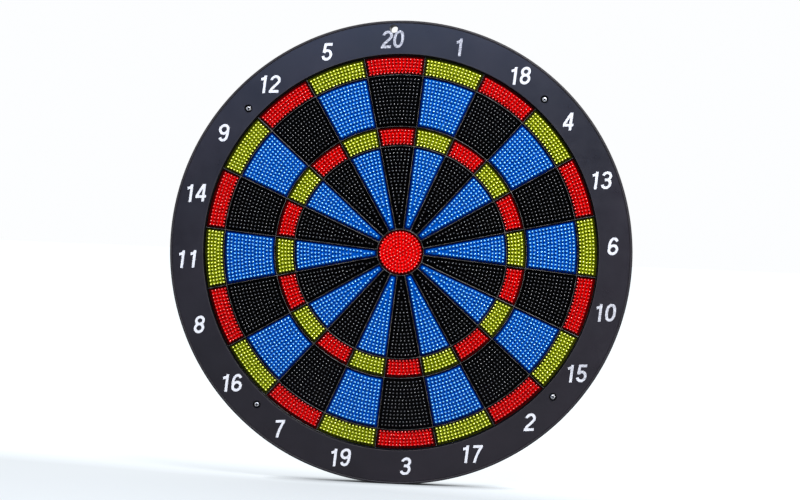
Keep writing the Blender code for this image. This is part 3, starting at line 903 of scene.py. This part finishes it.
def digit_strokes():
    """The centre lines of each digit's strokes, in digit heights, and whether each is closed."""
    edge = DIGIT_STROKE / 2
    middle = DIGIT_WIDTH / 2
    side = middle - edge
    top, base = 1 - edge, edge
    tall = ((middle, 0.5), (side, 0.5 - edge))
    six_bowl = ((middle, 0.305), (side, 0.305 - edge))
    strokes = {
        0: [(ellipse(*tall, 0, 360, 48, 0.86), True)],
        1: [
            ([(0.37, 1.0), (0.37, 0.0)], False),
            ([(0.40, 0.93), (0.33, 0.86), (0.25, 0.815), (0.13, 0.79)], False),
        ],
        2: [
            (ellipse((middle, 0.70), (side, top - 0.70), 172, -28)
             + [(0.40, 0.48), (0.27, 0.35), (0.15, 0.235), (0.095, 0.10)], False),
            ([(0.0, base), (0.565, base)], False),
        ],
        3: [
            (ellipse((middle - 0.01, 0.72), (side - 0.01, top - 0.72), 165, -90), False),
            (ellipse((middle, 0.30), (side, 0.30 - edge), 90, -168), False),
            ([(0.20, 0.521), (0.32, 0.521)], False),
        ],
        4: [
            ([(0.44, 1.0), (0.44, 0.0)], False),
            ([(0.0, 0.295), (0.60, 0.295)], False),
            ([(0.40, 0.96), (0.055, 0.32)], False),
        ],
        5: [
            ([(0.09, top), (0.55, top)], False),
            ([(0.155, 0.96), (0.105, 0.46)], False),
            (ellipse((middle - 0.01, 0.325), (side, 0.325 - edge), 148, -168), False),
        ],
        6: [
            (ellipse(*six_bowl, 0, 360, 40), True),
            (ellipse(*tall, 36, 190, 30, 0.86), False),
        ],
        7: [
            ([(0.03, top), (0.57, top)], False),
            ([(0.515, 0.93), (0.40, 0.70), (0.31, 0.47), (0.25, 0.24), (0.215, 0.0)], False),
        ],
        8: [
            (ellipse((middle, 0.725), (side - 0.02, top - 0.725), 0, 360, 40), True),
            (ellipse((middle, 0.30), (side, 0.30 - edge), 0, 360, 40), True),
        ],
    }
    strokes[9] = [
        ([(DIGIT_WIDTH - x, 1 - y) for x, y in path], closed) for path, closed in strokes[6]
    ]
    return strokes


def stroke_mesh(name, path, closed, origin):
    """One pen stroke of even width along a path, slanted, as a flat solid on the ring."""
    if closed:
        path = path[:-1]
    count = len(path)
    half = DIGIT_STROKE / 2
    sides = ([], [])
    for k, (x, y) in enumerate(path):
        before = path[k - 1] if closed or k else path[0]
        after = path[(k + 1) % count] if closed or k < count - 1 else path[-1]
        along = Vector((after[0] - before[0], after[1] - before[1])).normalized()
        for points, way in zip(sides, (half, -half)):
            px, py = x - along.y * way, y + along.x * way
            points.append((
                origin[0] + (px + DIGIT_SLANT * py) * DIGIT_HEIGHT,
                origin[1] + py * DIGIT_HEIGHT,
            ))
    body = bmesh.new()
    left, right = sides
    low, high = FACE_HEIGHT - DIGIT_ROOT, FACE_HEIGHT + DIGIT_THICKNESS
    loops = [
        [(*left[k], low), (*right[k], low), (*right[k], high), (*left[k], high)]
        for k in range(count)
    ]
    stack_loops(body, loops, "joined" if closed else "capped")
    return mesh_of(body, name)


def number_meshes(number, centre):
    """The strokes of one number, its middle at the centre."""
    digits = [int(figure) for figure in str(number)]
    advance = DIGIT_WIDTH + DIGIT_SPACING
    width = advance * len(digits) - DIGIT_SPACING
    left = centre[0] - (width + DIGIT_SLANT) / 2 * DIGIT_HEIGHT
    low = centre[1] - DIGIT_HEIGHT / 2
    meshes = []
    for place, digit in enumerate(digits):
        origin = (left + place * advance * DIGIT_HEIGHT, low)
        name = f"digit_{digit}"
        parts = [stroke_mesh(name, path, closed, origin) for path, closed in STROKES[digit]]
        meshes.append(combined(name, parts[0], parts[1:]))
    return meshes


def make_numbers():
    """The twenty numbers, upright on the ring and stamped a little proud of its face."""
    body = bmesh.new()
    for k, number in enumerate(NUMBERS):
        x, y = polar(NUMBER_CIRCLE, SECTOR * k + NUMBER_TURN)
        for mesh in number_meshes(number, (x + NUMBER_SHIFT[0], y + NUMBER_SHIFT[1])):
            body.from_mesh(mesh)
    mesh = mesh_of(body, "numbers_shape")
    hole = rod(
        "hole", HANGING_HOLE_RADIUS + EDGE, FACE_HEIGHT - 2 * OVERCUT,
        BOARD_DEPTH + 2 * OVERCUT, HANGING_HOLE, HOLE_STEPS,
    )
    numbers = stand_up(combined("numbers_shape", mesh, (), [hole]), "printed_numbers")
    finish_piece(numbers, numerals_white, "numerals_white")


# ---------------------------------------------------------------- back


def make_foam_sheet():
    """The foam sheet behind the beds, with holes for the spider's screw bosses."""
    outlines = [circle(SHEET_RADIUS, TURN_STEPS)]
    outlines += [circle(SPIDER_BOSS_RADIUS + 0.0008, 24, centre) for centre in REAR_SCREWS]
    sheet = stand_up(
        filled("sheet_shape", outlines, SHEET_LOW, SHEET_HIGH, EDGE), "foam_sheet"
    )
    finish_piece(sheet, sheet_foam, "sheet_foam", "backing_sheet")


def make_cover():
    """The ribbed disc that closes the back and lies on the wall. Its panel lies between the
    heights panel and front; its rim, hub, ribs and bosses reach down to the wall at 0."""
    panel, front = 0.0038, 0.0063
    rim, hub, outer_rib, rib = COVER_RADIUS - 0.0028, 0.03, 0.16, 0.002
    radial_ribs = 8
    front_boss_top, rear_boss_top, head_seat = 0.0095, 0.0048, 0.0025
    pilot_end, above_boss, above_panel = 0.0025, 0.011, 0.008
    profile = [
        (COVER_RADIUS - EDGE, front), (COVER_RADIUS, front - EDGE),
        (COVER_RADIUS, EDGE), (COVER_RADIUS - EDGE, 0.0),
        (rim + EDGE, 0.0), (rim, EDGE), (rim, panel - EDGE), (rim - EDGE, panel),
    ]
    for radius in (outer_rib, TREBLE_OUTER_LINE):
        out, inner = radius + rib / 2, radius - rib / 2
        profile += [
            (out + EDGE, panel), (out, panel - EDGE), (out, EDGE), (out - EDGE, 0.0),
            (inner + EDGE, 0.0), (inner, EDGE), (inner, panel - EDGE), (inner - EDGE, panel),
        ]
    profile += [(hub + EDGE, panel), (hub, panel - EDGE), (hub, EDGE), (hub - EDGE, 0.0)]
    disc = turned("cover_disc", [(0.01, front), *profile, (0.01, 0.0)], ends="capped")
    joined = [
        bar("radial_rib", (hub - OVERCUT, outer_rib), rib, 0.0, panel + OVERCUT,
            2 * pi * k / radial_ribs, EDGE)
        for k in range(radial_ribs)
    ]
    joined += [rod("boss", BOSS_RADIUS, 0.0, front_boss_top, c, edge=EDGE) for c in FRONT_SCREWS]
    joined += [rod("boss", BOSS_RADIUS, 0.0, rear_boss_top, c, edge=EDGE) for c in REAR_SCREWS]
    joined.append(rod(
        "hanging_pad", HANGING_HOLE_RADIUS + 0.0008, 0.0, rear_boss_top, HANGING_HOLE,
        HOLE_STEPS, edge=0.0002,
    ))
    removed = [rod("pilot", PILOT_RADIUS, pilot_end, above_boss, c) for c in FRONT_SCREWS]
    removed += [
        rod("clearance", CLEARANCE_RADIUS, -OVERCUT, above_panel, c) for c in REAR_SCREWS
    ]
    removed += [
        rod("head_hole", HEAD_HOLE_RADIUS, -OVERCUT, head_seat, c, HEAD_STEPS)
        for c in REAR_SCREWS
    ]
    removed.append(rod(
        "hanging_hole", HANGING_HOLE_RADIUS, -OVERCUT, above_panel, HANGING_HOLE, HOLE_STEPS
    ))
    cover = stand_up(combined("cover_shape", disc, joined, removed), "ribbed_cover")
    weigh_normals(cover)
    finish_piece(cover, cover_black, "cover_black", "rear_cover")


# ---------------------------------------------------------------- screws


def screw_shape(length):
    """A pan-head screw: its seat at height 0, a domed head with a cross recess."""
    head = SCREW_HEAD_HEIGHT
    profile = [
        (0.00001, head), (0.0011, head * 0.98), (0.0019, head * 0.88), (0.0025, head * 0.66),
        (0.0029, head * 0.36), (0.003, head * 0.12), (0.0029, 0.0),
        (0.0015, 0.0), (0.0014, -0.0004), (0.0014, 0.0015 - length), (0.0003, -length),
    ]
    body = turned("screw_profile", profile, HEAD_STEPS, ends="capped")
    recess_low, recess_high = (0.0007, 0.0008, 0.0003), (head + 0.0005, 0.0020, 0.0006)
    slots = []
    for turn in (0.0, pi / 2):
        sideways = Matrix.Rotation(turn, 3, "Z")
        cutter = bmesh.new()
        loops = []
        for height, along, across in (recess_low, recess_high):
            corners = ((-along, -across), (along, -across), (along, across), (-along, across))
            loops.append([sideways @ Vector((x, y, height)) for x, y in corners])
        stack_loops(cutter, loops)
        slots.append(mesh_of(cutter, "slot"))
    return combined("screw_shape", body, (), slots)


def make_screws():
    """Four screws in the front ring, and four in the back with their heads backwards."""
    tightened = radians(27)
    for side in ("front", "rear"):
        low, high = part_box(f"{side}_screw_1")
        crown, inwards = (-low.y, -1) if side == "front" else (-high.y, 1)
        steel = screw_steel(side, crown)
        length = high.y - low.y
        shape = screw_shape(length - SCREW_HEAD_HEIGHT)
        seat = crown + inwards * SCREW_HEAD_HEIGHT
        for k in range(1, 5):
            mesh = shape.copy()
            if side == "rear":
                mesh.transform(Matrix.Rotation(pi, 4, "X"))
            mesh.transform(Matrix.Rotation(tightened * k, 4, "Z"))
            x, y = centre_of(f"{side}_screw_{k}")
            mesh.transform(Matrix.Translation((x, y, seat)))
            screw = stand_up(mesh, f"{side}_cross_head_screw_{k}")
            finish_piece(screw, steel, "screw_steel", f"{side}_screw_{k}")


# ---------------------------------------------------------------- studio

# What the picture's width spans at the board's face, and the lens
PICTURE_WIDTH = 0.7010
LENS = 135.0
SENSOR = 36.0

# How far the camera stands round to the right, how far it is rolled, and where the board's
# centre lies from the picture's
CAMERA_TURN = radians(3.6)
ROLL = radians(1.6)
CENTRE_RIGHT = 0.00005
CENTRE_DOWN = 0.00205

# The floor falls to the right, also in the picture
FLOOR_TILT = ROLL + radians(2.4)
FLOOR_SIZE = 30.0
CONTACT_REACH = 0.03


def make_camera():
    """Almost square on to the board, a little from the right, with a long lens, and rolled so
    that the board looks turned a little to the left."""
    camera = bpy.data.objects.new("camera", bpy.data.cameras.new("camera"))
    camera.data.lens = LENS
    camera.data.sensor_width = SENSOR
    camera.data.clip_end = 100.0
    distance = PICTURE_WIDTH * LENS / SENSOR
    pose = Matrix.Rotation(CAMERA_TURN, 4, "Z") @ Matrix.Rotation(ROLL, 4, "Y")
    pose = pose @ Matrix.Rotation(pi / 2, 4, "X")
    offset = Vector((-CENTRE_RIGHT, CENTRE_DOWN, distance))
    camera.matrix_world = Matrix.Translation((0.0, -BOARD_DEPTH, 0.0)) @ pose @ (
        Matrix.Translation(offset)
    )
    bpy.context.scene.collection.objects.link(camera)
    bpy.context.scene.camera = camera


def make_floor():
    """A pale floor that the board stands on. A glow of its own, seen by the camera only,
    lifts it to white towards the back and the right, but not close under the board."""
    body = bmesh.new()
    bmesh.ops.create_grid(body, x_segments=1, y_segments=1, size=FLOOR_SIZE)
    floor_plane = bpy.data.objects.new("floor", mesh_of(body, "floor"))
    floor_plane.rotation_euler.y = FLOOR_TILT
    floor_plane.location = (
        -BOARD_RADIUS * sin(FLOOR_TILT), 0.0, -BOARD_RADIUS * cos(FLOOR_TILT)
    )
    bpy.context.scene.collection.objects.link(floor_plane)
    nodes = Nodes("pale_floor")
    split = nodes.add("ShaderNodeSeparateXYZ")
    nodes.link(nodes.position, split.inputs["Vector"])
    back_and_right = nodes.add("ShaderNodeMath", operation="MULTIPLY_ADD")
    nodes.link(split.outputs["X"], back_and_right.inputs[0])
    back_and_right.inputs[1].default_value = 0.4
    nodes.link(split.outputs["Y"], back_and_right.inputs[2])
    rise = nodes.spread(back_and_right.outputs["Value"], (-0.1, 0.08), (0.60, 0.95))
    seen = nodes.add("ShaderNodeLightPath").outputs["Is Camera Ray"]
    contact = nodes.add("ShaderNodeAmbientOcclusion", samples=16)
    contact.inputs["Distance"].default_value = CONTACT_REACH
    glow = nodes.times(nodes.times(rise, seen), contact.outputs["AO"])
    nodes.link(glow, nodes.shader.inputs["Emission Strength"])
    nodes.plain("Emission Color", (0.90, 0.96, 1.0, 1.0))
    nodes.plain("Base Color", (0.20, 0.21, 0.22, 1.0))
    nodes.plain("Roughness", 0.8)
    floor_plane.data.materials.append(nodes.material)


def add_light(name, location, size, power, colour=(1.0, 1.0, 1.0)):
    """A soft rectangular light that faces the board's centre."""
    light = bpy.data.lights.new(name, "AREA")
    light.shape = "RECTANGLE"
    light.size, light.size_y = size
    light.energy = power
    light.color = colour
    lamp = bpy.data.objects.new(name, light)
    lamp.location = location
    lamp.rotation_euler = (-Vector(location)).to_track_quat("-Z", "Y").to_euler()
    bpy.context.scene.collection.objects.link(lamp)


def make_studio():
    """A white backdrop behind the board and little light from the camera's side, a key light
    from the upper right, a fill from the left and a faint blue one on the ring's upper part."""
    world = bpy.data.worlds.new("studio")
    bpy.context.scene.world = world
    world.use_nodes = True
    tree = world.node_tree
    background = tree.nodes["Background"]
    background.inputs["Color"].default_value = (0.98, 0.99, 1.0, 1.0)
    strength = tree.nodes.new("ShaderNodeMath")
    strength.operation = "MAXIMUM"
    paths = tree.nodes.new("ShaderNodeLightPath")
    split = tree.nodes.new("ShaderNodeSeparateXYZ")
    backdrop = tree.nodes.new("ShaderNodeMapRange")
    backdrop.inputs["From Min"].default_value = -0.1
    backdrop.inputs["From Max"].default_value = 0.3
    backdrop.inputs["To Min"].default_value = 0.04
    backdrop.inputs["To Max"].default_value = 0.9
    direction = tree.nodes.new("ShaderNodeTexCoord").outputs["Generated"]
    tree.links.new(direction, split.inputs["Vector"])
    tree.links.new(split.outputs["Y"], backdrop.inputs["Value"])
    tree.links.new(backdrop.outputs["Result"], strength.inputs[0])
    tree.links.new(paths.outputs["Is Camera Ray"], strength.inputs[1])
    tree.links.new(strength.outputs["Value"], background.inputs["Strength"])
    add_light("key", location=(0.8, -1.8, 1.35), size=(0.7, 0.7), power=82.0,
              colour=(0.98, 0.985, 1.0))
    add_light("fill", location=(-1.9, -1.8, 0.6), size=(1.2, 1.2), power=14.0)
    add_light("sheen", location=(-0.15, -2.0, 0.66), size=(0.9, 0.45), power=8.6,
              colour=(0.33, 0.54, 1.0))
    bpy.context.scene.view_settings.view_transform = "Standard"


# ---------------------------------------------------------------- the scene

make_camera()

# The beds' colours carry painted light: painted shade on shoulders and plates, a painted glow
# between the nibs, painted highlights on the tips
bed_black = bed_plastic(
    "bed_black_plastic",
    shoulder=(0.0006, 0.0006, 0.0006),
    plate=(0.0008, 0.0008, 0.0008),
    post=(0.0015, 0.0015, 0.0015),
    tip=(0.040, 0.040, 0.042),
)
bed_blue = bed_plastic(
    "bed_blue_plastic",
    shoulder=(0.0, 0.008, 0.08),
    plate=(0.0, 0.06, 0.33),
    post=(0.0, 0.10, 0.50),
    tip=(0.20, 0.60, 1.0),
)
bed_red = bed_plastic(
    "bed_red_plastic",
    shoulder=(0.05, 0.0, 0.0),
    plate=(0.51, 0.0, 0.0),
    post=(0.46, 0.0, 0.0),
    tip=(0.70, 0.035, 0.035),
)
bull_red = bed_plastic(
    "bull_red_plastic",
    shoulder=(0.07, 0.0, 0.0),
    plate=(0.68, 0.0, 0.0),
    post=(0.60, 0.0, 0.0),
    tip=(0.82, 0.03, 0.03),
)
bed_lime = bed_plastic(
    "bed_lime_plastic",
    shoulder=(0.024, 0.028, 0.0),
    plate=(0.15, 0.18, 0.0),
    post=(0.20, 0.25, 0.0),
    tip=(0.95, 1.0, 0.14),
)
ring_charcoal = ring_plastic()
spider_black = spider_plastic()
cover_black = cover_plastic()
numerals_white = number_foil()
sheet_foam = foam()
STROKES = digit_strokes()

make_beds()
make_spider()
make_ring()
make_numbers()
make_foam_sheet()
make_cover()
make_screws()
make_floor()
make_studio()
